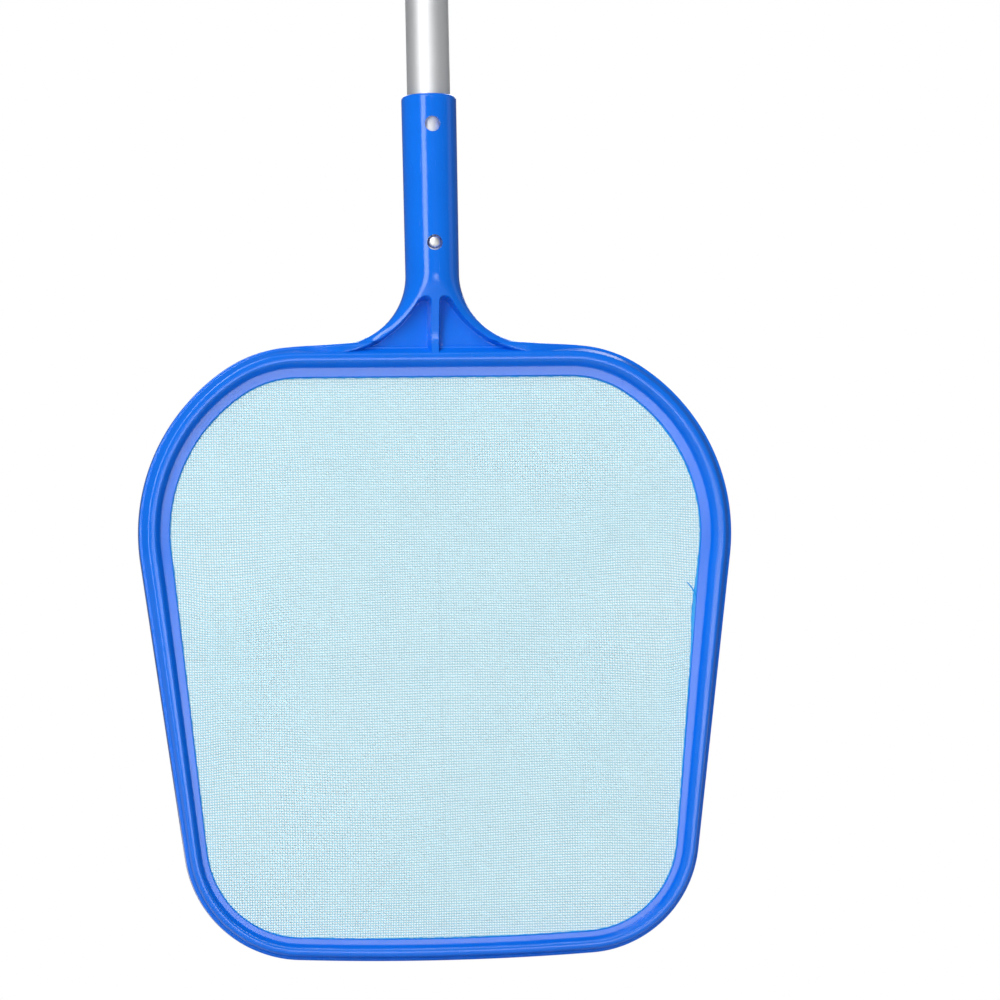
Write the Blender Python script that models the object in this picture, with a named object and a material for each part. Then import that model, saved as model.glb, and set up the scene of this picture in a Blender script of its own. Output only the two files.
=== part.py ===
"""Leaf skimmer: a flat hand net for pool leaves on a sixty-inch sectional aluminium pole.

The skimmer stands upright with its hand grip at the top. The origin is the middle of the grip on
the pole's axis, +Z runs up the pole, and the open front of the net faces -Y. All lengths are metres.
The head's own frame has its origin at the mouth of the pole socket and runs down along -Z.
"""

import math

import bmesh
import bpy
import numpy as np

# Clearances and smoothness
GAP = 0.0003  # between parts that touch or slide
ROUND_SIDES = 36  # sides of the tubes, the socket and the grip
SMALL_SIDES = 20  # sides of the buttons and their holes

# Hand grip
GRIP_LENGTH = 0.100
GRIP_RADIUS = 0.0138
GRIP_BAND_RADIUS = 0.0145
GRIP_LIP_RADIUS = 0.0148
GRIP_GROOVE = 0.0005  # depth of the fine grooves
GRIP_END_WALL = 0.0022
GRIP_CORNER = 0.0025

# Pole: three equal sections, each plugged into the next one up with a narrowed neck
POLE_LENGTH = 1.524
POLE_SECTIONS = ("lower", "middle", "upper")
TUBE_RADIUS = 0.0111
TUBE_WALL = 0.0010
NECK_LENGTH = 0.050
NECK_TAPER = 0.003  # length of the cone between tube and neck
NECK_BUTTON_HEIGHT = 0.030  # of a joint's button above the end of the section that it locks

# Snap buttons and their springs
BUTTON_RADIUS = 0.0031
BUTTON_HOLE_RADIUS = 0.0034
BUTTON_FLANGE_RADIUS = 0.0039
BUTTON_FLANGE = 0.0006
RIVET_RADIUS = 0.0011
RIVET_HEAD_RADIUS = 0.0019
RIVET_HEAD = 0.0004
SPRING_THICKNESS = 0.0005
SPRING_WIDTH = 0.0080
SPRING_LENGTH = 0.038  # from the button to the bend
JOINT_BUTTON_PROUD = 0.0013  # of the pole's surface

# Head: pole socket
SOCKET_RADIUS_MOUTH = 0.01415
SOCKET_RADIUS_FOOT = 0.0138
SOCKET_LENGTH = 0.0923  # down to where the fan starts to flare
SOCKET_DEPTH = 0.0891
SOCKET_CORNER = 0.0022
SOCKET_HOLE_RADIUS = 0.0040
SOCKET_HOLES = (0.0160, 0.0770)  # below the mouth; the lower one takes the button
HEAD_BUTTON_BELOW_MOUTH = 0.0766  # a little above its hole's middle, because the head hangs on it
HEAD_BUTTON_ABOVE_TUBE_END = 0.012
HEAD_BUTTON_RECESS = 0.0003  # below the socket's surface

# Head: outline of the frame, as arcs that run into each other
WIDEST = 0.2244  # of the frame, below the mouth
SHOULDER_CENTRE_X = 0.0517
SHOULDER_RADIUS = 0.1009
CROWN_RADIUS = 0.0668  # of the tighter arc between the shoulder and the straight top
CROWN_ANGLE = math.radians(33)  # from the vertical, where shoulder and crown meet
SIDE_TAPER = math.radians(7.6)
CORNER_CENTRE = (0.0723, -0.3809)
CORNER_RADIUS = 0.0597
FOOT_RADIUS = 1.436  # of the nearly straight lower edge

# Head: section of the frame, in from its outer edge and through its depth
FRAME_HALF_DEPTH = 0.007
FRAME_WALL = 0.0024
BEAD_FRONT = -0.0026
BEAD_WIDTH = 0.0012
FLANGE_FRONT = -0.0010
FLANGE_BACK = 0.0016
RIDGE_OUT = (0.0037, 0.0024)  # at the top of the head, and at its foot
RIDGE_IN = (0.0081, 0.0056)
WALL_FOOT = (0.0105, 0.0077)
FRAME_WIDTH = (0.0159, 0.0112)
WIDTH_CHANGES = (-0.240, -0.385)  # heights between which the section narrows

# Head: fan between socket and frame
FLARE_RADIUS = 0.035
FAN_WEB = 0.0030
FAN_RIB_WIDTH = 0.0046
FAN_SQUARENESS = 3.2  # power of the fan's section at the frame; 2 is round
ARM_EDGE_CENTRE = (0.0573, -0.0768)  # of the arc along the inner edge of an arm
ARM_EDGE_RADIUS = 0.0570
POCKET_TOP = -0.1045
POCKET_CORNER = 0.0024
FAN_FOOT = -0.1357  # inside the frame's ridge
GUSSET_INSET = 0.0052  # of the gussets' foot below the top of the frame
GUSSET_STEPS = 6

# Net
NET_THICKNESS = 0.0006
NET_SAG = 0.0025
NET_HOLD = 0.0021  # how far the net reaches into the slot in the flange's inner edge
NET_RINGS = 4

POLE_TOP = GRIP_LENGTH / 2
TUBE_END = POLE_TOP - POLE_LENGTH
SECTION_LENGTH = POLE_LENGTH / len(POLE_SECTIONS)
HEAD_BUTTON_Z = TUBE_END + HEAD_BUTTON_ABOVE_TUBE_END
MOUTH_Z = HEAD_BUTTON_Z + HEAD_BUTTON_BELOW_MOUTH
BORE_RADIUS = TUBE_RADIUS - TUBE_WALL
NECK_RADIUS = BORE_RADIUS - GAP
FRONT_HOLE_REACH = 0.030  # length of the cutters for the holes in the front walls
NET_FRONT = (FLANGE_FRONT + FLANGE_BACK - NET_THICKNESS) / 2
NET_BACK = NET_FRONT + NET_THICKNESS


# ---------------------------------------------------------------- scene, materials and mesh helpers


def clear_scene():
    for item in list(bpy.data.objects):
        bpy.data.objects.remove(item, do_unlink=True)


def material(name, colour, roughness, metallic=0.0):
    made = bpy.data.materials.new(name)
    made.use_nodes = True
    shader = made.node_tree.nodes["Principled BSDF"]
    shader.inputs["Base Color"].default_value = (*colour, 1.0)
    shader.inputs["Roughness"].default_value = roughness
    shader.inputs["Metallic"].default_value = metallic
    return made


def frame_plastic():
    return material("frame_plastic", (0.018, 0.195, 0.82), 0.32)


def grip_plastic():
    return material("grip_plastic", (0.020, 0.170, 0.78), 0.42)


def net_thread():
    return material("net_thread", (0.55, 0.78, 0.86), 0.55)


def anodised_aluminium():
    return material("anodised_aluminium", (0.62, 0.63, 0.63), 0.34, 1.0)


def spring_steel():
    return material("spring_steel", (0.45, 0.45, 0.46), 0.30, 1.0)


def button_steel():
    return material("button_steel", (0.72, 0.72, 0.73), 0.20, 1.0)


def empty(name, z=0.0, parent=None):
    made = bpy.data.objects.new(name, None)
    made.location = (0.0, 0.0, z)
    made.parent = parent
    bpy.context.scene.collection.objects.link(made)
    return made


def add_object(name, bm, finish, parent, location=(0.0, 0.0, 0.0)):
    """Turn a bmesh into a named object, its faces turned out and its round faces smooth."""
    bmesh.ops.remove_doubles(bm, verts=bm.verts, dist=1e-7)
    bmesh.ops.recalc_face_normals(bm, faces=bm.faces)
    mesh = bpy.data.meshes.new(name)
    bm.to_mesh(mesh)
    bm.free()
    mesh.shade_smooth()
    mesh.set_sharp_from_angle(angle=math.radians(32))
    if finish:
        mesh.materials.append(finish)
    made = bpy.data.objects.new(name, mesh)
    made.location = location
    made.parent = parent
    bpy.context.scene.collection.objects.link(made)
    return made


def boolean(target, tool, operation):
    """Join the tool to the target, or cut it away, and keep the tool as a hidden guide."""
    step = target.modifiers.new(f"{operation.lower()}_{tool.name}", "BOOLEAN")
    step.operation = operation
    step.object = tool
    tool.hide_render = True
    tool.display_type = "WIRE"


def turned(profile, sides, along="Z"):
    """Spin a closed profile of (radius, distance along the axis) once round the Z or Y axis."""
    bm = bmesh.new()
    if along == "Z":
        axis = (0, 0, 1)
        places = [(radius, 0.0, height) for radius, height in profile]
    else:
        axis = (0, 1, 0)
        places = [(radius, depth, 0.0) for radius, depth in profile]
    ring = [bm.verts.new(place) for place in places]
    edges = [bm.edges.new((ring[i], ring[(i + 1) % len(ring)])) for i in range(len(ring))]
    on_axis = [e for e in edges if all(math.hypot(v.co.x, v.co.y if along == "Z" else v.co.z) < 1e-9
                                       for v in e.verts)]
    bmesh.ops.delete(bm, geom=on_axis, context="EDGES_FACES")
    spun = list(bm.verts) + list(bm.edges)
    bmesh.ops.spin(bm, geom=spun, cent=(0, 0, 0), axis=axis, angle=math.tau, steps=sides)
    bmesh.ops.remove_doubles(bm, verts=bm.verts, dist=1e-6)
    bmesh.ops.dissolve_degenerate(bm, edges=bm.edges, dist=1e-7)
    return bm


def extruded(outline, start, end, along):
    """Extrude a flat closed outline; along Y it holds (x, z), along X it holds (y, z)."""
    bm = bmesh.new()
    if along == "Y":
        places = [(x, start, z) for x, z in outline]
        push = (0.0, end - start, 0.0)
    else:
        places = [(start, y, z) for y, z in outline]
        push = (end - start, 0.0, 0.0)
    face = bm.faces.new([bm.verts.new(place) for place in places])
    grown = bmesh.ops.extrude_face_region(bm, geom=[face])
    moved = [item for item in grown["geom"] if isinstance(item, bmesh.types.BMVert)]
    bmesh.ops.translate(bm, verts=moved, vec=push)
    return bm


def skinned(rings, closed_ends):
    """Skin rings of equal point counts in order; the last ring meets the first, or both are capped."""
    bm = bmesh.new()
    loops = [[bm.verts.new(place) for place in ring] for ring in rings]
    pairs = list(zip(loops, loops[1:] + loops[:1]))
    if closed_ends:
        pairs = pairs[:-1]
        bm.faces.new(loops[0])
        bm.faces.new(loops[-1])
    for here, there in pairs:
        for i in range(len(here)):
            j = (i + 1) % len(here)
            bm.faces.new((here[i], here[j], there[j], there[i]))
    return bm


def arc(centre, radius, start, end, steps):
    """Points from one angle to another about a centre, both ends included."""
    return [(centre[0] + radius * math.cos(a), centre[1] + radius * math.sin(a))
            for a in np.linspace(start, end, steps + 1)]


def hole_cutter(name, parent, height, radius):
    """A pin along Y that pierces only the front wall of a tube."""
    bm = turned([(0.0, -FRONT_HOLE_REACH), (radius, -FRONT_HOLE_REACH), (radius, 0.0), (0.0, 0.0)],
                SMALL_SIDES, "Y")
    return add_object(name, bm, None, parent, (0.0, 0.0, height))


# ---------------------------------------------------------------- hand grip


def grip_outline():
    """Outer side of the grip from its open collar up to its closed end, as (radius, height)."""
    foot = -GRIP_LENGTH / 2
    body = GRIP_RADIUS
    band = GRIP_BAND_RADIUS
    side = [(GRIP_LIP_RADIUS, 0.0), (GRIP_LIP_RADIUS, 0.0018), (body, 0.0030)]
    for groove in (0.0089, 0.0121, 0.0153):
        side += [(body, groove - 0.0006), (body - GRIP_GROOVE, groove), (body, groove + 0.0006)]
    side.append((body, 0.0345))
    side.append((band, 0.0353))
    for groove in (0.0412, 0.0481, 0.0551, 0.0621):
        side += [(band, groove - 0.0007), (body, groove - 0.0004), (body, groove + 0.0004),
                 (band, groove + 0.0007)]
    side += [(band, 0.0662), (body, 0.0670)]
    for groove in (0.0885, 0.0930):
        side += [(body, groove - 0.0006), (body - GRIP_GROOVE, groove), (body, groove + 0.0006)]
    corner = arc((body - GRIP_CORNER, GRIP_LENGTH - GRIP_CORNER), GRIP_CORNER, 0.0, math.pi / 2, 4)
    return [(radius, foot + height) for radius, height in side + corner]


def make_grip(parent):
    bore = TUBE_RADIUS + GAP
    bore_end = POLE_TOP - GRIP_END_WALL
    inner = [(0.0, POLE_TOP), (0.0, bore_end), (bore, bore_end), (bore, -GRIP_LENGTH / 2)]
    return add_object("hand_grip", turned(grip_outline() + inner, ROUND_SIDES), grip_plastic(), parent)


# ---------------------------------------------------------------- pole


def make_section(index, finish, parent):
    """One tube of the pole, with a swaged neck on top unless it carries the grip."""
    name = POLE_SECTIONS[index]
    foot = TUBE_END + index * SECTION_LENGTH
    has_neck = index < len(POLE_SECTIONS) - 1
    if has_neck:
        top = foot + SECTION_LENGTH - GAP
        neck_top = top + NECK_LENGTH
        neck_bore = NECK_RADIUS - TUBE_WALL
        profile = [(TUBE_RADIUS, foot), (TUBE_RADIUS, top - NECK_TAPER), (NECK_RADIUS, top),
                   (NECK_RADIUS, neck_top), (neck_bore, neck_top), (neck_bore, top),
                   (BORE_RADIUS, top - NECK_TAPER), (BORE_RADIUS, foot)]
    else:
        top = POLE_TOP - GRIP_END_WALL - GAP
        profile = [(TUBE_RADIUS, foot), (TUBE_RADIUS, top), (BORE_RADIUS, top), (BORE_RADIUS, foot)]
    tube = add_object(f"pole_section_{name}", turned(profile, ROUND_SIDES), finish, parent)
    own_end = foot + (NECK_BUTTON_HEIGHT if index else HEAD_BUTTON_ABOVE_TUBE_END)
    boolean(tube, hole_cutter(f"hole_in_{name}_foot", parent, own_end, BUTTON_HOLE_RADIUS), "DIFFERENCE")
    if has_neck:
        in_neck = foot + SECTION_LENGTH + NECK_BUTTON_HEIGHT
        boolean(tube, hole_cutter(f"hole_in_{name}_neck", parent, in_neck, BUTTON_HOLE_RADIUS),
                "DIFFERENCE")
    return tube


# ---------------------------------------------------------------- snap buttons and springs


def flange_front(bore):
    """Depth at which the button's flange clears the bore of its tube."""
    return -(math.sqrt((bore - GAP) ** 2 - BUTTON_FLANGE_RADIUS ** 2) - GAP / 3)


def make_button(name, height, proud, bore, finish, parent):
    """A domed pin on a flange, with the rivet that holds it to its spring; its front is at -proud."""
    flange = flange_front(bore)
    base = flange + BUTTON_FLANGE
    leg_back = base + GAP + SPRING_THICKNESS
    dome = 0.0016
    crown = [(BUTTON_RADIUS * math.sin(a), -proud + dome * (1 - math.cos(a)))
             for a in np.linspace(0.0, math.pi / 2, 6)]
    profile = crown + [(BUTTON_RADIUS, flange), (BUTTON_FLANGE_RADIUS, flange),
                       (BUTTON_FLANGE_RADIUS, base), (RIVET_RADIUS, base),
                       (RIVET_RADIUS, leg_back + GAP), (RIVET_HEAD_RADIUS, leg_back + GAP),
                       (RIVET_HEAD_RADIUS, leg_back + GAP + RIVET_HEAD),
                       (0.0, leg_back + GAP + RIVET_HEAD)]
    return add_object(name, turned(profile, SMALL_SIDES, "Y"), finish, parent, (0.0, 0.0, height))


def spring_path(bore):
    """Middle line of the bent strip, as (y, z) with the button at z = 0 and the bend above it."""
    front = flange_front(bore) + BUTTON_FLANGE + GAP + SPRING_THICKNESS / 2
    back = math.sqrt((bore - GAP) ** 2 - (SPRING_WIDTH / 2) ** 2) - SPRING_THICKNESS / 2
    bend = 0.0016
    bend_z = SPRING_LENGTH - bend
    around = arc((0.0, bend_z), bend, math.pi, 0.0, 8)
    return [(front, -0.0055), (front, 0.0070)] + around + [
        (back, 0.0020), (back - 0.0002, 0.0), (back - 0.0012, -0.0022), (back - 0.0030, -0.0034)]


def strip_outline(path):
    """Offset the middle line of a strip by half its thickness to both sides, mitred at the bends."""
    line = np.array(path)
    ahead = np.diff(line, axis=0)
    ahead /= np.linalg.norm(ahead, axis=1)[:, None]
    first = np.vstack([ahead[:1], ahead])
    second = np.vstack([ahead, ahead[-1:]])
    across = np.stack([-(first + second)[:, 1], (first + second)[:, 0]], axis=1)
    across /= np.linalg.norm(across, axis=1)[:, None]
    stretch = (across * np.stack([-first[:, 1], first[:, 0]], axis=1)).sum(axis=1)
    offset = across * (SPRING_THICKNESS / 2 / stretch)[:, None]
    return [tuple(p) for p in np.vstack([line + offset, (line - offset)[::-1]])]


def make_spring(name, height, bore, upright, finish, parent):
    """A V-shaped strip inside the tube; upright springs have their bend above the button."""
    outline = strip_outline(spring_path(bore))
    bm = extruded(outline, -SPRING_WIDTH / 2, SPRING_WIDTH / 2, "X")
    spring = add_object(name, bm, finish, parent, (0.0, 0.0, height))
    if not upright:
        spring.rotation_euler = (0.0, math.pi, 0.0)
    reach = flange_front(bore)
    bm = turned([(0.0, reach), (RIVET_RADIUS + GAP, reach), (RIVET_RADIUS + GAP, 0.0), (0.0, 0.0)],
                SMALL_SIDES, "Y")
    boolean(spring, add_object(f"hole_in_{name}", bm, None, parent, (0.0, 0.0, height)), "DIFFERENCE")
    return spring


def make_locks(parent):
    """The three snap locks: pole to head, and the two joints of the pole."""
    button_finish = button_steel()
    spring_finish = spring_steel()
    socket_front = SOCKET_RADIUS_MOUTH + (SOCKET_RADIUS_FOOT - SOCKET_RADIUS_MOUTH) * (
        HEAD_BUTTON_BELOW_MOUTH / SOCKET_LENGTH)
    make_button("head_snap_button", HEAD_BUTTON_Z, socket_front - HEAD_BUTTON_RECESS, BORE_RADIUS,
                button_finish, parent)
    make_spring("head_snap_spring", HEAD_BUTTON_Z, BORE_RADIUS, True, spring_finish, parent)
    neck_bore = NECK_RADIUS - TUBE_WALL
    for index, name in enumerate(POLE_SECTIONS[:-1], start=1):
        height = TUBE_END + index * SECTION_LENGTH + NECK_BUTTON_HEIGHT
        make_button(f"{name}_snap_button", height, TUBE_RADIUS + JOINT_BUTTON_PROUD, neck_bore,
                    button_finish, parent)
        make_spring(f"{name}_snap_spring", height, neck_bore, False, spring_finish, parent)


# ---------------------------------------------------------------- head outline


def shoulder_centre():
    return SHOULDER_CENTRE_X, -WIDEST


def crown_centre():
    """Centre of the arc that runs on from the shoulder to the straight top of the frame."""
    x, z = shoulder_centre()
    apart = SHOULDER_RADIUS - CROWN_RADIUS
    return x + apart * math.sin(CROWN_ANGLE), z + apart * math.cos(CROWN_ANGLE)


def foot_geometry():
    """Height of the centre of the lower edge's wide arc, and the angle at which the corner meets it."""
    x, z = CORNER_CENTRE
    apart = FOOT_RADIUS - CORNER_RADIUS
    centre_z = z + math.sqrt(apart ** 2 - x ** 2)
    return centre_z, -math.pi / 2 + math.asin(x / apart)


def frame_outline():
    """Right half of the frame's outer edge from the top middle round to the bottom middle."""
    crown = crown_centre()
    top = crown[1] + CROWN_RADIUS
    foot_z, foot_angle = foot_geometry()
    points = [(0.0, top), (crown[0] / 2, top)]
    points += arc(crown, CROWN_RADIUS, math.pi / 2, math.pi / 2 - CROWN_ANGLE, 4)
    points += arc(shoulder_centre(), SHOULDER_RADIUS, math.pi / 2 - CROWN_ANGLE, -SIDE_TAPER, 9)[1:]
    side_top = points[-1]
    corner = arc(CORNER_CENTRE, CORNER_RADIUS, -SIDE_TAPER, foot_angle, 9)
    points += [tuple(np.array(side_top) + share * (np.array(corner[0]) - side_top))
               for share in (1 / 3, 2 / 3)]
    points += corner
    points.append((points[-1][0] / 2, foot_z - math.sqrt(FOOT_RADIUS ** 2 - (points[-1][0] / 2) ** 2)))
    points.append((0.0, foot_z - FOOT_RADIUS))
    return points


def frame_loop():
    """The whole outer edge, clockwise from the top middle as seen from the front."""
    half = frame_outline()
    mirrored = [(-x, z) for x, z in half[-2:0:-1]]
    return np.array(half + mirrored)


def inward_normals(loop):
    """Unit normals into the frame, from the chord between each point's two neighbours."""
    chord = np.roll(loop, -1, axis=0) - np.roll(loop, 1, axis=0)
    normal = np.stack([chord[:, 1], -chord[:, 0]], axis=1)
    return normal / np.linalg.norm(normal, axis=1)[:, None]


def narrowing(heights):
    """0 where the section has its full width, 1 where it is narrowest."""
    share = (heights - WIDTH_CHANGES[0]) / (WIDTH_CHANGES[1] - WIDTH_CHANGES[0])
    return np.clip(share, 0.0, 1.0)


def between(pair, share):
    return pair[0] + (pair[1] - pair[0]) * share


def frame_section(share):
    """Section of the frame as (distance in from the outer edge, depth), front side first.

    The ridge's corners and the bead's outer edge are bevelled. The flange's inner edge has the
    slot that holds the net.
    """
    ridge_out = between(RIDGE_OUT, share)
    ridge_in = between(RIDGE_IN, share)
    wall_foot = between(WALL_FOOT, share)
    inner = between(FRAME_WIDTH, share)
    slot_end = inner - NET_HOLD - GAP
    front = -FRAME_HALF_DEPTH
    back = FRAME_HALF_DEPTH
    return [
        (0.0, back), (0.0, BEAD_FRONT + 0.0006), (0.0004, BEAD_FRONT), (BEAD_WIDTH, BEAD_FRONT),
        (ridge_out - 0.0001, front + 0.0007), (ridge_out + 0.0005, front),
        (ridge_in - 0.0005, front), (ridge_in, front + 0.0006), (wall_foot, FLANGE_FRONT),
        (inner, FLANGE_FRONT), (inner, NET_FRONT - GAP), (slot_end, NET_FRONT - GAP),
        (slot_end, NET_BACK + GAP), (inner, NET_BACK + GAP), (inner, FLANGE_BACK),
        (wall_foot - 0.0012, FLANGE_BACK), (ridge_in - FRAME_WALL + 0.0006, front + FRAME_WALL),
        (ridge_out + 0.0010, front + FRAME_WALL), (FRAME_WALL, BEAD_FRONT + 0.0030),
        (FRAME_WALL, back)]


def offset_loop(loop, distance):
    return loop + inward_normals(loop) * np.asarray(distance).reshape(-1, 1)


# ---------------------------------------------------------------- head frame


def make_rim(parent):
    """The frame's section carried round its outline."""
    loop = frame_loop()
    normals = inward_normals(loop)
    shares = narrowing(loop[:, 1])
    rings = []
    for point, normal, share in zip(loop, normals, shares):
        rings.append([(point[0] + normal[0] * inset, depth, point[1] + normal[1] * inset)
                      for inset, depth in frame_section(share)])
    return add_object("head_frame", skinned(rings, closed_ends=False), frame_plastic(), parent)


def make_socket(parent):
    """The solid outside of the pole socket, from its rounded mouth down into the fan."""
    corner = arc((SOCKET_RADIUS_MOUTH - SOCKET_CORNER, -SOCKET_CORNER), SOCKET_CORNER,
                 math.pi / 2, 0.0, 4)
    profile = [(0.0, 0.0)] + corner + [(SOCKET_RADIUS_FOOT, -SOCKET_LENGTH), (0.0, -SOCKET_LENGTH)]
    return add_object("socket_body", turned(profile, ROUND_SIDES), None, parent)


def flare_centre():
    return SOCKET_RADIUS_FOOT + FLARE_RADIUS, -SOCKET_LENGTH


def flare_tangent():
    """Ends of the line that runs off the flare and onto the crown of the frame."""
    flare = np.array(flare_centre())
    crown = np.array(crown_centre())
    apart = crown - flare
    distance = np.linalg.norm(apart)
    turn = -math.acos((FLARE_RADIUS + CROWN_RADIUS) / distance)
    along = apart / distance
    normal = np.array([along[0] * math.cos(turn) - along[1] * math.sin(turn),
                       along[0] * math.sin(turn) + along[1] * math.cos(turn)])
    return flare + FLARE_RADIUS * normal, crown - CROWN_RADIUS * normal


def make_fan(parent):
    """Solid between socket and frame: round at the socket, flat and wide at the frame."""
    centre_x, centre_z = flare_centre()
    flare_end = flare_tangent()[0]
    heights = np.append(np.linspace(centre_z + 0.004, flare_end[1], 11), FAN_FOOT)
    angles = np.linspace(0.0, math.tau, 28, endpoint=False)
    rings = []
    for height in heights:
        drop = np.clip(centre_z - height, 0.0, centre_z - flare_end[1])
        half_width = centre_x - math.sqrt(FLARE_RADIUS ** 2 - drop ** 2)
        share = drop / (centre_z - flare_end[1])
        half_depth = between((SOCKET_RADIUS_FOOT, FRAME_HALF_DEPTH - 0.0002), share ** 0.8)
        squareness = 2.0 / between((2.0, FAN_SQUARENESS), share)
        if height > centre_z:
            half_width -= 0.0002
            half_depth -= 0.0002
        x = half_width * np.sign(np.cos(angles)) * np.abs(np.cos(angles)) ** squareness
        y = half_depth * np.sign(np.sin(angles)) * np.abs(np.sin(angles)) ** squareness
        rings.append([(float(a), float(b), float(height)) for a, b in zip(x, y)])
    return add_object("fan_body", skinned(rings, closed_ends=True), None, parent)


def pocket_outline():
    """Right-hand pocket beside the middle rib, as (x, z): round at the top, open to the frame."""
    inner = FAN_RIB_WIDTH / 2
    centre_x, centre_z = ARM_EDGE_CENTRE
    shoulder = POCKET_TOP - POCKET_CORNER
    below = centre_z - shoulder
    beside = math.sqrt((ARM_EDGE_RADIUS + POCKET_CORNER) ** 2 - below ** 2)
    meeting = math.atan2(below, beside)
    points = [(inner, FAN_FOOT - 0.004)]
    points += arc((inner + POCKET_CORNER, shoulder), POCKET_CORNER, math.pi, math.pi / 2, 4)
    points += arc((centre_x - beside, shoulder), POCKET_CORNER, math.pi / 2, meeting, 3)
    points += arc(ARM_EDGE_CENTRE, ARM_EDGE_RADIUS, math.pi + meeting, math.pi + math.radians(72), 8)[1:]
    points.append((points[-1][0] + 0.002, FAN_FOOT - 0.004))
    return points


def cut_pockets(fan, parent):
    """Four pockets, left and right of the middle rib, at the front and at the back of the web."""
    outline = pocket_outline()
    reach = 0.020
    for side, side_name in ((1, "right"), (-1, "left")):
        for face, face_name in ((-1, "front"), (1, "back")):
            bm = extruded([(side * x, z) for x, z in outline], face * FAN_WEB / 2, face * reach, "Y")
            pocket = add_object(f"pocket_{face_name}_{side_name}", bm, None, parent)
            boolean(fan, pocket, "DIFFERENCE")


def make_gusset(side, parent):
    """Slender wedge that carries the fan's arm on along the top of the frame and fades into its bead."""
    start, end = flare_tangent()
    foot = crown_centre()[1] + CROWN_RADIUS - GUSSET_INSET
    back = FRAME_HALF_DEPTH - 0.0004
    rings = []
    for share in np.linspace(-0.05, 1.0, GUSSET_STEPS):
        x, z = start + (end - start) * share
        fade = max(share, 0.0)
        front_out = between((0.0002 - FRAME_HALF_DEPTH, BEAD_FRONT + 0.0002), fade)
        front_in = between((0.0002 - FRAME_HALF_DEPTH, BEAD_FRONT - 0.0010), fade)
        drop = 0.0002 if share < 0 else 0.0
        rings.append([(side * x, front_out, z - drop), (side * x, back, z - drop),
                      (side * x, back, foot), (side * x, front_in, foot)])
    name = "gusset_right" if side > 0 else "gusset_left"
    return add_object(name, skinned(rings, closed_ends=True), None, parent)


def make_head_frame(parent):
    """Rim, fan, gussets and socket as one moulding, then its bore and its two button holes."""
    rim = make_rim(parent)
    fan = make_fan(parent)
    cut_pockets(fan, parent)
    boolean(rim, fan, "UNION")
    for side in (1, -1):
        boolean(rim, make_gusset(side, parent), "UNION")
    boolean(rim, make_socket(parent), "UNION")
    bore_radius = TUBE_RADIUS + GAP
    above = 0.004
    bm = turned([(0.0, above), (bore_radius, above), (bore_radius, -SOCKET_DEPTH), (0.0, -SOCKET_DEPTH)],
                ROUND_SIDES)
    boolean(rim, add_object("socket_bore", bm, None, parent), "DIFFERENCE")
    for index, depth in enumerate(SOCKET_HOLES, start=1):
        cutter = hole_cutter(f"socket_hole_{index}", parent, -depth, SOCKET_HOLE_RADIUS)
        boolean(rim, cutter, "DIFFERENCE")
    return rim


# ---------------------------------------------------------------- net


def make_net(parent):
    """A thin sheet held in the flange's slot, flat at its edge and hollowed a little inside it."""
    loop = frame_loop()
    width = between(FRAME_WIDTH, narrowing(loop[:, 1]))
    edge = offset_loop(loop, width - NET_HOLD)
    opening = offset_loop(loop, width + 0.0008)
    middle = np.array([0.0, (loop[:, 1].max() + loop[:, 1].min()) / 2])
    plans = [(edge, 0.0)]
    for ring in range(NET_RINGS):
        share = ring / NET_RINGS
        plans.append((opening + (middle - opening) * share, NET_SAG * (1 - (1 - share) ** 2)))
    bm = bmesh.new()
    sides = []
    for face_depth in (NET_FRONT, NET_BACK):
        loops = [[bm.verts.new((x, face_depth + sag, z)) for x, z in plan] for plan, sag in plans]
        centre = bm.verts.new((middle[0], face_depth + NET_SAG, middle[1]))
        for outer, inner in zip(loops, loops[1:]):
            for i in range(len(outer)):
                j = (i + 1) % len(outer)
                bm.faces.new((outer[i], outer[j], inner[j], inner[i]))
        for i in range(len(loops[-1])):
            bm.faces.new((loops[-1][i], loops[-1][(i + 1) % len(loop)], centre))
        sides.append(loops[0])
    for i in range(len(loop)):
        j = (i + 1) % len(loop)
        bm.faces.new((sides[0][i], sides[0][j], sides[1][j], sides[1][i]))
    return add_object("net_mesh", bm, net_thread(), parent)


def main():
    clear_scene()
    skimmer = empty("skimmer")
    head = empty("head", MOUTH_Z, skimmer)
    make_grip(skimmer)
    aluminium = anodised_aluminium()
    for index in range(len(POLE_SECTIONS)):
        make_section(index, aluminium, skimmer)
    make_locks(skimmer)
    make_head_frame(head)
    make_net(head)


main()
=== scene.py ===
"""Looks of the leaf skimmer: a moulded blue head with a woven net on a long aluminium pole.

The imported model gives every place. The pole stands along Z with its hand grip on top, and the open
front of the net faces -Y. Lengths are metres. Heights on the head are measured from the socket's mouth.
"""

import math

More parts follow.
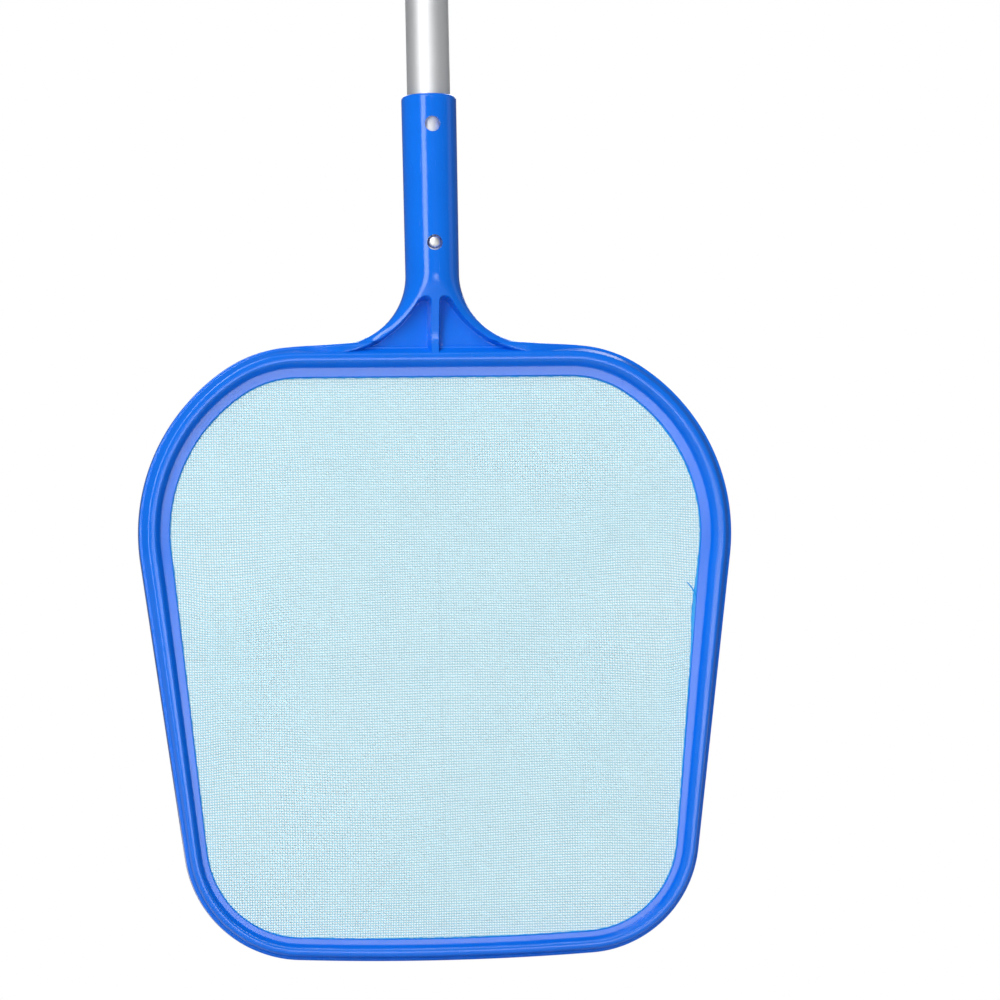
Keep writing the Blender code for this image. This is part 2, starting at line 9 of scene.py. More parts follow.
import bmesh
import bpy
import numpy as np
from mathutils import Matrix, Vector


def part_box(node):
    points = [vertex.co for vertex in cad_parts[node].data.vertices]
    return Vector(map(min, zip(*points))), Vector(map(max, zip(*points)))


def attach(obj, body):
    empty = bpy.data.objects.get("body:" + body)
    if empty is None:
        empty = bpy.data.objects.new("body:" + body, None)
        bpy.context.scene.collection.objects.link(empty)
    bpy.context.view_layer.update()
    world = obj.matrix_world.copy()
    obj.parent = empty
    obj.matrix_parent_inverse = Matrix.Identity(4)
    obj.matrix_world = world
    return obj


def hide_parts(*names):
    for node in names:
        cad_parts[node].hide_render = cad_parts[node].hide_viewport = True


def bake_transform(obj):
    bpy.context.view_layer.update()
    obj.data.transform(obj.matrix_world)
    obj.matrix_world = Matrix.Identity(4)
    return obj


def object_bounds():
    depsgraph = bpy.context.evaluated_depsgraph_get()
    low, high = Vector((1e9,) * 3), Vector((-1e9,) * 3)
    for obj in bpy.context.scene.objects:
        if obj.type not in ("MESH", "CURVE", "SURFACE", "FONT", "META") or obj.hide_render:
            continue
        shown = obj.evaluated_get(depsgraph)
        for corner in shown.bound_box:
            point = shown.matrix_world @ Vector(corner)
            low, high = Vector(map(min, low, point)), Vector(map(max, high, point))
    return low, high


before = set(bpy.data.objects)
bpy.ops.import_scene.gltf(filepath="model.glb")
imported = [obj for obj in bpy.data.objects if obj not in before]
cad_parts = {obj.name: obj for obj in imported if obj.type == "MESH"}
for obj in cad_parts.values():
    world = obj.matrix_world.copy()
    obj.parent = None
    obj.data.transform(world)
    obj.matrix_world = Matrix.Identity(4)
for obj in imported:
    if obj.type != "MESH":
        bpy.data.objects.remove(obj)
CAD_LOW, CAD_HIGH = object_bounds()

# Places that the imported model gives
MOUTH_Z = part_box("head_frame")[1].z
FLOOR_GAP = 0.002  # the head hangs just clear of the floor
FLOOR_Z = CAD_LOW.z - FLOOR_GAP

# Head: outline of the frame, as arcs that run into each other
WIDEST = 0.2244
SHOULDER_CENTRE = np.array([0.0517, -WIDEST])
SHOULDER_RADIUS = 0.1009
CROWN_RADIUS = 0.0668
CROWN_ANGLE = math.radians(33)
SIDE_TAPER = math.radians(7.6)
CORNER_CENTRE = np.array([0.0723, -0.3809])
CORNER_RADIUS = 0.0597
FOOT_RADIUS = 1.436
OUTLINE_STEP = 0.0016

# Head: section of the frame, in from its outer edge and through its depth
FRAME_HALF_DEPTH = 0.007
FRAME_WALL = 0.0024
BEAD_FRONT = -0.0026
BEAD_WIDTH = 0.0014
FLANGE_FRONT = -0.0010
FLANGE_BACK = 0.0016
RIDGE_OUT = (0.0039, 0.0026)  # at the top of the head, and at its foot
RIDGE_IN = (0.0080, 0.0055)
WALL_FOOT = (0.0105, 0.0077)
FRAME_WIDTH = (0.0159, 0.0112)
WIDTH_CHANGES = (-0.240, -0.385)  # heights between which the section narrows
CORNER_STEPS = 5

# Head: thin plastic that crept out along the net
WELD_REACH = 0.00035
WELD_HALF_DEPTH = 0.0008
WELD_SIDES = 12
FLASH_HEIGHT = -0.268  # of the tongue on the right
FLASH_HALF_LENGTH = 0.016
FLASH_REACH = 0.0013
FLASH_UNEVEN = 0.00008
WISP_START = -0.2592  # where a wisp of plastic leaves the frame on the right
WISP_TIP = (-0.0047, 0.0078)  # from its start, across and up
WISP_BEND = (0.25, 0.60)  # how far along those the corner of its curve lies
WISP_RADIUS = 0.00045
WISP_THINNING = 0.6
WISP_RINGS = 20
WISP_LIFT = 0.0006  # in front of the net

# Head: socket and fan
SOCKET_RADIUS_MOUTH = 0.01415
SOCKET_RADIUS_FOOT = 0.0138
SOCKET_LENGTH = 0.0923
SOCKET_DEPTH = 0.0891
SOCKET_LIP = 0.0022
SOCKET_BORE = 0.0114
SOCKET_HOLE_RADIUS = 0.0040
SOCKET_HOLES = (0.0160, 0.0770)
FLARE_RADIUS = 0.035
FAN_START = 0.0920  # below the mouth, where the round socket starts to flatten
FAN_WEB = 0.0030
FAN_RIB_WIDTH = 0.0046
FAN_SQUARENESS = 3.2
ARM_EDGE_CENTRE = (0.0573, -0.0768)
ARM_EDGE_RADIUS = 0.0570
FAN_FOOT = -0.1357
FAN_HALF_DEPTH = 0.0068
FAN_COLUMNS = 231
FAN_EVENNESS = 0.35  # share of even spacing in the columns, which otherwise crowd towards the sides
BEHIND_BEAD = 0.0002  # how far the fan's sides sink behind the bead of the frame
FAN_SKIN = 0.0006
DIVE_INSETS = (0.0012, 0.0024, 0.0045, 0.0065)  # below the frame's top, where the skin dives
DIVE_DEPTHS = (0.0, 0.0024, 0.0056, 0.0062)
POCKET_TOP = -0.1045
POCKET_CORNER = 0.0024
POCKET_EDGE = 0.0014  # width of the rounded slope from the fan's front down to the pocket's floor

# Pole, grip and locks
TUBE_RADIUS = 0.0111
TUBE_WALL = 0.0010
NECK_RADIUS = 0.0098
NECK_LENGTH = 0.050
NECK_TAPER = 0.003
EDGE_ROUND = 0.0004
NECK_ROUND = 0.0012
ROUND_SIDES = 128
GRIP_COLLAR_RADIUS = 0.0148
GRIP_BODY_RADIUS = 0.0138
GRIP_BAND_RADIUS = 0.0145
GRIP_COLLAR = (0.0019, 0.0031)  # heights above the grip's foot: the collar's top, its taper's end
GRIP_BAND = (0.0343, 0.0352, 0.0663, 0.0671)  # start and end of both steps of the band
GRIP_LOW_GROOVES = (0.0089, 0.0121, 0.0153)
GRIP_BAND_GROOVES = (0.0412, 0.0481, 0.0551, 0.0621)
GRIP_HIGH_GROOVES = (0.0885, 0.0930)
GRIP_GROOVE = (0.0007, 0.0005)  # half width and depth
GRIP_BAND_GROOVE = (0.0008, 0.0007)
GROOVE_FLOOR_SHARE = 0.4
GRIP_CAP = 0.0022
GRIP_END_ROUND = 0.0025
GRIP_CLEARANCE = 0.0003
BUTTON_RADIUS = 0.0031
BUTTON_HOLE_RADIUS = 0.0034
BUTTON_DOME = 0.0016
BUTTON_FLANGE = 0.0006
BUTTON_FLANGE_FROM_BACK = 0.0024
RIVET_RADIUS = 0.0011
RIVET_HEAD_RADIUS = 0.0019
RIVET_HEAD = 0.0004
SPRING_THICKNESS = 0.0005
SPRING_WIDTH = 0.0080
SPRING_BEND_RADIUS = 0.0016
SPRING_FRONT_LEG = (-0.0055, 0.0070)  # heights from the button, up towards the bend
SPRING_BACK_LEG = ((0.0, 0.0020), (0.0002, 0.0), (0.0012, -0.0022), (0.0030, -0.0034))
SPRING_STEP = 0.0006
SPRING_TIP = 0.0030

# Net
NET_PITCH = 0.0013
UPRIGHT_RADIUS = 0.00029
CROSS_RADIUS = 0.00035
WEAVE_LIFT = 0.00019
THREAD_SIDES = 4
NET_SAG = 0.0025
NET_HOLD = 0.0021  # length of the threads' ends inside the flange
NET_DEPTH = (FLANGE_FRONT + FLANGE_BACK) / 2
NET_REACH = 0.16  # more than half of the net in every direction
NET_RIPPLE = 0.00022
NET_STILL_EDGE = 0.018  # width of the edge where the pulls die away
# Pulls in the weave: distance across, height above the middle, reach, shift across, shift up
NET_PULLS = (
    (-0.112, 0.030, 0.026, 0.0008, -0.0026), (-0.095, -0.045, 0.030, -0.0006, 0.0022),
    (-0.060, 0.085, 0.034, 0.0016, 0.0012), (0.104, 0.050, 0.028, -0.0010, 0.0022),
    (0.118, -0.010, 0.024, 0.0012, -0.0020), (0.070, -0.085, 0.036, 0.0012, 0.0018),
    (0.000, 0.010, 0.060, 0.0010, 0.0022), (-0.030, -0.090, 0.040, 0.0014, -0.0016))

# Colours: of the deepest and of the lightest places, or of the darkest and the lightest
FRAME_BLUE = ((0.002, 0.140, 0.72, 1.0), (0.003, 0.170, 0.82, 1.0))
THIN_BLUE = ((0.005, 0.27, 0.72, 1.0), (0.010, 0.36, 0.80, 1.0))
GRIP_BLUE = ((0.006, 0.120, 0.64, 1.0), (0.010, 0.155, 0.74, 1.0))
ALUMINIUM = ((0.74, 0.75, 0.76, 1.0), (0.84, 0.845, 0.85, 1.0))
AQUA = ((0.41, 0.71, 0.82, 1.0), (0.54, 0.84, 0.93, 1.0))
BUTTON_STEEL = ((0.72, 0.72, 0.73, 1.0), (0.92, 0.92, 0.93, 1.0))
SPRING_STEEL = ((0.33, 0.33, 0.35, 1.0), (0.52, 0.52, 0.54, 1.0))

# Camera, light and floor
CAMERA_DISTANCE = 2.4
SEEN_WIDTH = 0.5116  # at the head
SENSOR_WIDTH = 36.0
NEAREST_SEEN = 0.05
CAMERA_TURN = math.radians(8.2)  # to the left of the head's front
CAMERA_RISE = math.radians(3.5)  # of its line of sight
CAMERA_ROLL = math.radians(1.2)
AIM_RIGHT = 0.0293
AIM_BELOW_MOUTH = 0.2087
HEAD_MIDDLE = (0.0, 0.0, MOUTH_Z - 0.2)
# Soft boxes: name, place, target, width, height, power
SOFT_BOXES = (
    ("key", (-1.05, -1.75, -0.75), (0.0, 0.0, -0.75), 0.66, 2.1, 27.0),
    ("high", (-1.0, -1.7, 0.9), HEAD_MIDDLE, 1.5, 1.0, 39.0),
    ("card", (0.42, -2.6, -1.64), (0.0, 0.0, -1.64), 0.9, 0.38, 5.5),
    ("front", (0.24, -2.7, -0.1), (0.0, 0.0, -0.5), 0.40, 1.5, 2.5),
    ("right", (2.4, -0.2, -0.9), (0.0, 0.0, -1.2), 0.9, 1.7, 1.9),
    ("back", (0.6, 2.2, 0.2), (0.0, 0.0, -1.0), 2.0, 2.2, 48.0))
SKY_COLOUR = (0.93, 0.96, 1.0, 1.0)
SKY_STRENGTH = 0.15
FLOOR_GREY = (0.75, 0.75, 0.75, 1.0)
FLOOR_HALF_SIZE = 40.0


# ---------------------------------------------------------------- mesh helpers


def new_object(name, mesh, finish):
    mesh.materials.append(finish)
    made = bpy.data.objects.new(name, mesh)
    bpy.context.scene.collection.objects.link(made)
    return made


def grid_faces(rows, columns, close_rows, close_columns):
    """Corner numbers of the quads between neighbouring points of a grid, wrapped where it is closed."""
    row = np.arange(rows if close_rows else rows - 1)[:, None]
    column = np.arange(columns if close_columns else columns - 1)[None, :]
    next_row = (row + 1) % rows
    next_column = (column + 1) % columns
    corners = [row * columns + column, row * columns + next_column,
               next_row * columns + next_column, next_row * columns + column]
    return np.stack(corners, axis=-1).reshape(-1, 4)


def fill_mesh(mesh, points, faces):
    """Put whole arrays of points and four-sided faces into a mesh."""
    mesh.vertices.add(len(points))
    mesh.vertices.foreach_set("co", np.ascontiguousarray(points, np.float32).ravel())
    mesh.loops.add(faces.size)
    mesh.loops.foreach_set("vertex_index", np.ascontiguousarray(faces, np.int32).ravel())
    mesh.polygons.add(len(faces))
    mesh.polygons.foreach_set("loop_start", np.arange(0, faces.size, 4, dtype=np.int32))
    mesh.update(calc_edges=True)


def surface(name, grid, finish, close_rows=False, close_columns=True, sharp=40):
    """A grid of points as a smooth closed skin: doubles at its poles merged, faces turned out."""
    mesh = bpy.data.meshes.new(name)
    rows, columns = grid.shape[:2]
    fill_mesh(mesh, grid.reshape(-1, 3), grid_faces(rows, columns, close_rows, close_columns))
    bm = bmesh.new()
    bm.from_mesh(mesh)
    bmesh.ops.remove_doubles(bm, verts=bm.verts, dist=1e-6)
    bmesh.ops.dissolve_degenerate(bm, edges=bm.edges, dist=1e-7)
    bmesh.ops.recalc_face_normals(bm, faces=bm.faces)
    bm.to_mesh(mesh)
    bm.free()
    mesh.shade_smooth()
    mesh.set_sharp_from_angle(angle=math.radians(sharp))
    return new_object(name, mesh, finish)


def turned(profile, sides=ROUND_SIDES, along="Z", height=0.0):
    """Revolve points (radius, place along the axis): x = r cos a and y = r sin a, about Z or about Y."""
    profile = np.asarray(profile)
    angle = np.linspace(0.0, math.tau, sides, endpoint=False)
    first = profile[:, :1] * np.cos(angle)
    second = profile[:, :1] * np.sin(angle)
    axial = np.broadcast_to(profile[:, 1:], first.shape)
    if along == "Z":
        return np.stack([first, second, axial + height], axis=-1)
    return np.stack([first, axial, second + height], axis=-1)


def rounded(corners, reach):
    """Replace each corner by a curve that leaves and meets its two edges at that reach from it.

    The curve is (1-t)^2 S + 2t(1-t) P + t^2 E, with P the corner and S and E the points at that reach.
    """
    corners = np.asarray(corners, float)
    reach = np.asarray(reach, float)[:, None]
    before = np.roll(corners, 1, axis=-2) - corners
    after = np.roll(corners, -1, axis=-2) - corners
    start = corners + before / np.linalg.norm(before, axis=-1, keepdims=True) * reach
    end = corners + after / np.linalg.norm(after, axis=-1, keepdims=True) * reach
    t = np.linspace(0.0, 1.0, CORNER_STEPS)[:, None]
    curve = ((1 - t) ** 2 * start[..., None, :] + 2 * t * (1 - t) * corners[..., None, :]
             + t ** 2 * end[..., None, :])
    return curve.reshape(*corners.shape[:-2], -1, 2)


def drill(piece, holes):
    """Cut round holes along Y through the front wall; each is (height, radius)."""
    for height, radius in holes:
        pin = surface("drill", turned([(0.0, -0.03), (radius, -0.03), (radius, 0.0), (0.0, 0.0)],
                                      64, "Y", height), piece.data.materials[0])
        cut = piece.modifiers.new("hole", "BOOLEAN")
        cut.object = pin
        cut.operation = "DIFFERENCE"
        evaluated = piece.evaluated_get(bpy.context.evaluated_depsgraph_get())
        mesh = bpy.data.meshes.new_from_object(evaluated)
        piece.modifiers.clear()
        piece.data = mesh
        bpy.data.objects.remove(pin)
    piece.data.set_sharp_from_angle(angle=math.radians(40))


def between(pair, share):
    return pair[0] + (pair[1] - pair[0]) * share


def smooth_step(value):
    """0 below 0 and 1 above 1, with an even S curve 3v^2 - 2v^3 between."""
    value = np.clip(value, 0.0, 1.0)
    return value * value * (3.0 - 2.0 * value)


# ---------------------------------------------------------------- materials


class Signal:
    """One output of a material's nodes. Arithmetic on signals adds Math nodes."""

    def __init__(self, finish, socket):
        self.finish = finish
        self.socket = socket

    def maths(self, operation, first, second):
        return self.finish.node("ShaderNodeMath", {"operation": operation}, {0: first, 1: second})

    def __add__(self, other):
        return self.maths("ADD", self, other)

    def __radd__(self, other):
        return self.maths("ADD", other, self)

    def __sub__(self, other):
        return self.maths("SUBTRACT", self, other)

    def __rsub__(self, other):
        return self.maths("SUBTRACT", other, self)

    def __mul__(self, other):
        return self.maths("MULTIPLY", self, other)

    def __rmul__(self, other):
        return self.maths("MULTIPLY", other, self)


class Finish:
    """A material in the making: one Principled shader and the nodes that feed it."""

    def __init__(self, name, **constants):
        self.material = bpy.data.materials.new(name)
        self.material.use_nodes = True
        self.tree = self.material.node_tree
        self.shader = self.tree.nodes["Principled BSDF"]
        for socket, value in constants.items():
            self.shader.inputs[socket.replace("_", " ")].default_value = value

    def node(self, kind, settings=None, inputs=None, output=0):
        """Add a node: its settings first, then the values or signals of its sockets."""
        made = self.tree.nodes.new(kind)
        for setting, value in (settings or {}).items():
            setattr(made, setting, value)
        self.feed(made, inputs or {})
        return Signal(self, made.outputs[output])

    def feed(self, made, inputs):
        for socket, value in inputs.items():
            if isinstance(value, Signal):
                self.tree.links.new(value.socket, made.inputs[socket])
            else:
                made.inputs[socket].default_value = value

    def place(self, scale=(1.0, 1.0, 1.0)):
        """Object coordinates, stretched by a scale on each axis."""
        raw = self.node("ShaderNodeTexCoord", output="Object")
        return self.node("ShaderNodeMapping", {}, {"Vector": raw, "Scale": scale})

    def noise(self, place, scale, detail=2.0):
        return self.node("ShaderNodeTexNoise", {}, {"Vector": place, "Scale": scale, "Detail": detail})

    def ramp(self, value, low, high):
        """0 up to low, 1 from high on, and a smooth step between."""
        return self.node("ShaderNodeMapRange", {"interpolation_type": "SMOOTHSTEP"},
                         {"Value": value, "From Min": low, "From Max": high})

    def mixed(self, share, first, second):
        """The colour that is that share of the way from the first to the second."""
        return self.node("ShaderNodeMix", {"data_type": "RGBA"}, {0: share, 6: first, 7: second}, 2)

    def bump(self, height, distance, strength=1.0):
        return self.node("ShaderNodeBump", {}, {"Height": height, "Distance": distance,
                                                "Strength": strength})

    def done(self, **inputs):
        self.feed(self.shader, {socket.replace("_", " "): value for socket, value in inputs.items()})
        return self.material


def moulded_plastic(name, colours, roughness, grain):
    """Blue polypropylene: faint clouds of colour, flow marks, a skin like fine orange peel, hairlines."""
    finish = Finish(name, IOR=1.45)
    place = finish.place()
    clouds = finish.noise(place, 38.0, 4.0)
    flow = finish.noise(finish.place((1.0, 1.0, 0.18)), 160.0, 3.0)
    peel = finish.noise(place, grain, 2.0)
    hairs = finish.ramp(finish.noise(finish.place((30.0, 30.0, 1.0)), 70.0, 4.0), 0.66, 0.72)
    colour = finish.mixed(clouds * 0.7 + flow * 0.3, *colours)
    height = peel * 0.7 + flow * 0.3 - hairs * 0.5
    return finish.done(Base_Color=colour, Roughness=roughness + flow * 0.08 + hairs * 0.15,
                       Normal=finish.bump(height, 0.00006, 0.35))


def frame_plastic():
    return moulded_plastic("moulded_blue", FRAME_BLUE, 0.10, 900.0)


def thin_plastic():
    return moulded_plastic("thin_moulded_blue", THIN_BLUE, 0.18, 900.0)


def grip_plastic():
    return moulded_plastic("grip_blue", GRIP_BLUE, 0.30, 1600.0)


def drawn_aluminium():
    """Satin anodised tube: fine drawing lines along its length and a slightly uneven sheen."""
    finish = Finish("satin_anodised_aluminium", Metallic=1.0)
    lines = finish.noise(finish.place((1.0, 1.0, 0.012)), 2600.0, 3.0)
    bands = finish.noise(finish.place((1.0, 1.0, 0.05)), 240.0, 2.0)
    bloom = finish.noise(finish.place(), 55.0, 3.0)
    colour = finish.mixed(lines * 0.5 + bloom * 0.5, *ALUMINIUM)
    return finish.done(Base_Color=colour, Roughness=0.52 + lines * 0.08 + bands * 0.06,
                       Normal=finish.bump(lines, 0.00002, 0.5))


def net_thread():
    """Pale aqua nylon filament: slightly uneven colour, fine strands along it, soft gloss."""
    finish = Finish("aqua_nylon_thread", IOR=1.53, Sheen_Weight=0.15)
    place = finish.place()
    patches = finish.noise(place, 55.0, 3.0)
    strands = finish.noise(place, 5200.0, 1.0)
    colour = finish.mixed(patches * 0.6 + strands * 0.4, *AQUA)
    return finish.done(Base_Color=colour, Roughness=0.38 + strands * 0.2,
                       Normal=finish.bump(strands, 0.00003, 0.4))


def steel(name, colours, roughness, grain):
    """Bright steel with the fine marks of stamping or polishing."""
    finish = Finish(name, Metallic=1.0)
    marks = finish.noise(finish.place(), grain, 4.0)
    patches = finish.noise(finish.place(), 300.0, 2.0)
    return finish.done(Base_Color=finish.mixed(patches, *colours),
                       Roughness=roughness + marks * 0.1, Normal=finish.bump(marks, 0.00001, 0.4))


def button_steel():
    return steel("polished_button_steel", BUTTON_STEEL, 0.46, 2400.0)


def spring_steel():
    return steel("spring_strip_steel", SPRING_STEEL, 0.26, 1500.0)


# ---------------------------------------------------------------- head: outline of the frame


def arc(centre, radius, start, end):
    """Dense points c + r (cos a, sin a) between two angles."""
    angle = np.linspace(start, end, 240)
    return centre + radius * np.stack([np.cos(angle), np.sin(angle)], axis=1)


def crown_centre():
    apart = SHOULDER_RADIUS - CROWN_RADIUS
    return SHOULDER_CENTRE + apart * np.array([math.sin(CROWN_ANGLE), math.cos(CROWN_ANGLE)])


def spread(line, step):
    """Points at equal distances along a dense line, both ends kept."""
    length = np.concatenate([[0.0], np.cumsum(np.hypot(*np.diff(line, axis=0).T))])
    along = np.linspace(0.0, length[-1], round(length[-1] / step) + 1)
    return np.stack([np.interp(along, length, line[:, 0]), np.interp(along, length, line[:, 1])], axis=1)


def frame_half():
    """Right half of the frame's outer edge, from the top middle round to the bottom middle."""
    crown = crown_centre()
    apart = FOOT_RADIUS - CORNER_RADIUS
    foot_z = CORNER_CENTRE[1] + math.sqrt(apart ** 2 - CORNER_CENTRE[0] ** 2)
    foot_angle = -math.pi / 2 + math.asin(CORNER_CENTRE[0] / apart)
    stretches = [
        np.array([[0.0, crown[1] + CROWN_RADIUS]]),
        arc(crown, CROWN_RADIUS, math.pi / 2, math.pi / 2 - CROWN_ANGLE),
        arc(SHOULDER_CENTRE, SHOULDER_RADIUS, math.pi / 2 - CROWN_ANGLE, -SIDE_TAPER),
        arc(CORNER_CENTRE, CORNER_RADIUS, -SIDE_TAPER, foot_angle),
        arc(np.array([0.0, foot_z]), FOOT_RADIUS, foot_angle, -math.pi / 2)]
    return spread(np.concatenate(stretches), OUTLINE_STEP)


def frame_loop():
    """The whole outer edge and the unit normals that point into the frame."""
    half = frame_half()
    loop = np.concatenate([half, half[-2:0:-1] * (-1.0, 1.0)])
    chord = np.roll(loop, -1, axis=0) - np.roll(loop, 1, axis=0)
    normal = np.stack([chord[:, 1], -chord[:, 0]], axis=1)
    return loop, normal / np.linalg.norm(normal, axis=1, keepdims=True)


def narrowing(heights):
    """0 where the section has its full width, 1 where it is narrowest."""
    return np.clip((heights - WIDTH_CHANGES[0]) / (WIDTH_CHANGES[1] - WIDTH_CHANGES[0]), 0.0, 1.0)


def flash(loop):
    """Plastic that crept out along the net: uneven everywhere, and a long tongue on the right.

    The tongue is a bell curve exp(-u^2) in height; the rest is a sum of two sines.
    """
    tongue = np.exp(-((loop[:, 1] - FLASH_HEIGHT) / FLASH_HALF_LENGTH) ** 2) * (loop[:, 0] > 0.0)
    first = np.sin(loop[:, 1] * 900.0 + loop[:, 0] * 700.0)
    second = np.sin(loop[:, 0] * 2100.0 - loop[:, 1] * 1500.0)
    return FLASH_REACH * tongue + FLASH_UNEVEN * (first + second)


def frame_sections(share):
    """Rounded section of the frame at each station, as (distance in from the outer edge, depth)."""
    ridge_out = between(RIDGE_OUT, share)
    ridge_in = between(RIDGE_IN, share)
    foot = between(WALL_FOOT, share)
    inner = between(FRAME_WIDTH, share)
    front = -FRAME_HALF_DEPTH
    back = FRAME_HALF_DEPTH
    none = np.zeros_like(share)
    corners = [
        (none, back, 0.0004), (none, BEAD_FRONT, 0.0009), (none + BEAD_WIDTH, BEAD_FRONT, 0.0004),
        (ridge_out, front, 0.0010), (ridge_in, front, 0.0007), (foot, FLANGE_FRONT, 0.0006),
        (inner - 0.0003, FLANGE_FRONT, 0.0003), (inner - 0.0001, FLANGE_FRONT + 0.0008, 0.0002),
        (inner, NET_DEPTH, 0.0001), (inner - 0.0002, FLANGE_BACK, 0.0006),
        (foot - 0.0012, FLANGE_BACK, 0.0006), (ridge_in - 0.0012, front + FRAME_WALL, 0.0005),
        (ridge_out + 0.0006, front + FRAME_WALL, 0.0004), (none + FRAME_WALL, BEAD_FRONT + 0.0030, 0.0006),
        (none + FRAME_WALL, back, 0.0004)]
    outline = np.stack([np.stack([inset, none + depth], axis=1) for inset, depth, _ in corners], axis=1)
    return rounded(outline, [reach for _, _, reach in corners])


def make_rim(finish):
    """The rounded section carried round the outline: outer edge plus inset times the inward normal."""
    loop, normal = frame_loop()
    section = frame_sections(narrowing(loop[:, 1]))
    place = loop[:, None, :] + normal[:, None, :] * section[..., :1]
    grid = np.stack([place[..., 0], section[..., 1], place[..., 1] + MOUTH_Z], axis=-1)
    return surface("head_rim", grid, finish, close_rows=True, sharp=60)


def make_weld(finish):
    """The thin seam where the net is moulded in: an ellipse carried round the edge of the opening."""
    loop, normal = frame_loop()
    angle = np.linspace(0.0, math.tau, WELD_SIDES, endpoint=False)
    inner = between(FRAME_WIDTH, narrowing(loop[:, 1]))[:, None]
    inset = inner + (WELD_REACH + flash(loop))[:, None] * np.cos(angle)
    place = loop[:, None, :] + normal[:, None, :] * inset[..., None]
    depth = np.broadcast_to(NET_DEPTH + WELD_HALF_DEPTH * np.sin(angle), inset.shape)
    grid = np.stack([place[..., 0], depth, place[..., 1] + MOUTH_Z], axis=-1)
    return surface("head_weld_seam", grid, finish, close_rows=True, sharp=180)


def make_wisp(finish):
    """A wisp of thin plastic on the right: a tapering tube on the curve (1-t)^2 S + 2t(1-t) P + t^2 E."""
    loop, normal = frame_loop()
    right = loop[:, 0] > 0.0
    inner = loop + normal * between(FRAME_WIDTH, narrowing(loop[:, 1]))[:, None]
    nearest = np.abs(np.where(right, inner[:, 1], 0.0) - WISP_START).argmin()
    start = inner[nearest]
    tip = start + np.array(WISP_TIP)
    corner = start + np.array(WISP_TIP) * WISP_BEND
    t = np.linspace(0.0, 1.0, WISP_RINGS)[:, None]
    line = (1 - t) ** 2 * start + 2 * t * (1 - t) * corner + t ** 2 * tip
    ahead = np.gradient(line, axis=0)
    side = np.stack([ahead[:, 1], -ahead[:, 0]], axis=1) / np.linalg.norm(ahead, axis=1, keepdims=True)
    radius = WISP_RADIUS * (1.0 - WISP_THINNING * t)
    radius[[0, -1]] = 0.0
    angle = np.linspace(0.0, math.tau, 10, endpoint=False)
    out = radius * np.cos(angle)
    x = line[:, :1] + side[:, :1] * out
    z = line[:, 1:] + side[:, 1:] * out + MOUTH_Z
    y = NET_DEPTH - WISP_LIFT + radius * np.sin(angle)
    return surface("head_weld_wisp", np.stack([x, y, z], axis=-1), finish, sharp=180)


# ---------------------------------------------------------------- head: socket and fan


def flare_centre():
    return np.array([SOCKET_RADIUS_FOOT + FLARE_RADIUS, -SOCKET_LENGTH])


def flare_tangent():
    """Ends of the line that runs off the flare and onto the crown of the frame."""
    flare = flare_centre()
    crown = crown_centre()
    apart = crown - flare
    distance = np.linalg.norm(apart)
    turn = -math.acos((FLARE_RADIUS + CROWN_RADIUS) / distance)
    along = apart / distance
    normal = np.array([along[0] * math.cos(turn) - along[1] * math.sin(turn),
                       along[0] * math.sin(turn) + along[1] * math.cos(turn)])
    return flare + FLARE_RADIUS * normal, crown - CROWN_RADIUS * normal


def socket_radius(height):
    return SOCKET_RADIUS_MOUTH + (SOCKET_RADIUS_FOOT - SOCKET_RADIUS_MOUTH) * (-height / SOCKET_LENGTH)


def both(first, second, corner):
    """Depth inside two edges at once, with the corner where they meet rounded to that radius."""
    u = np.maximum(corner - first, 0.0)
    v = np.maximum(corner - second, 0.0)
    return np.where(u + v > 0.0, corner - np.hypot(u, v), np.minimum(first, second))


def pocket_depth(x, z):
    """0 on the fan's front and 1 on the pockets' floors, smooth across the pockets' edges."""
    beside_rib = np.abs(x) - FAN_RIB_WIDTH / 2
    inside_arm = np.hypot(np.abs(x) - ARM_EDGE_CENTRE[0], z - ARM_EDGE_CENTRE[1]) - ARM_EDGE_RADIUS
    below_top = POCKET_TOP - z
    inside = both(both(beside_rib, below_top, POCKET_CORNER), inside_arm, POCKET_CORNER)
    return smooth_step((inside + 0.3 * POCKET_EDGE) / POCKET_EDGE)


def fan_rings():
    """Height, half width and half depth of each ring from the mouth's lip down to the foot of the fan."""
    centre = flare_centre()
    start, end = flare_tangent()
    socket = np.linspace(-SOCKET_LIP, -FAN_START, 44)
    flare = np.linspace(-FAN_START, start[1], 68)[1:]
    drop = np.clip(centre[1] - flare, 0.0, None)
    wings = np.linspace(0.0, 1.0, 16)[1:]
    heights = np.concatenate([socket, flare, start[1] + (end[1] - start[1]) * wings,
                              np.linspace(end[1], FAN_FOOT, 15)[1:]])
    widths = np.concatenate([
        socket_radius(socket),
        np.where(drop > 0.0, centre[0] - np.sqrt(FLARE_RADIUS ** 2 - drop ** 2), socket_radius(flare)),
        start[0] + (end[0] - start[0]) * wings, np.full(14, end[0])])
    share = smooth_step((-FAN_START - heights) / (-FAN_START - start[1]))
    depths = socket_radius(heights) * (1.0 - share) + FAN_HALF_DEPTH * share
    powers = between((2.0, FAN_SQUARENESS), share)
    return heights, widths, depths, powers


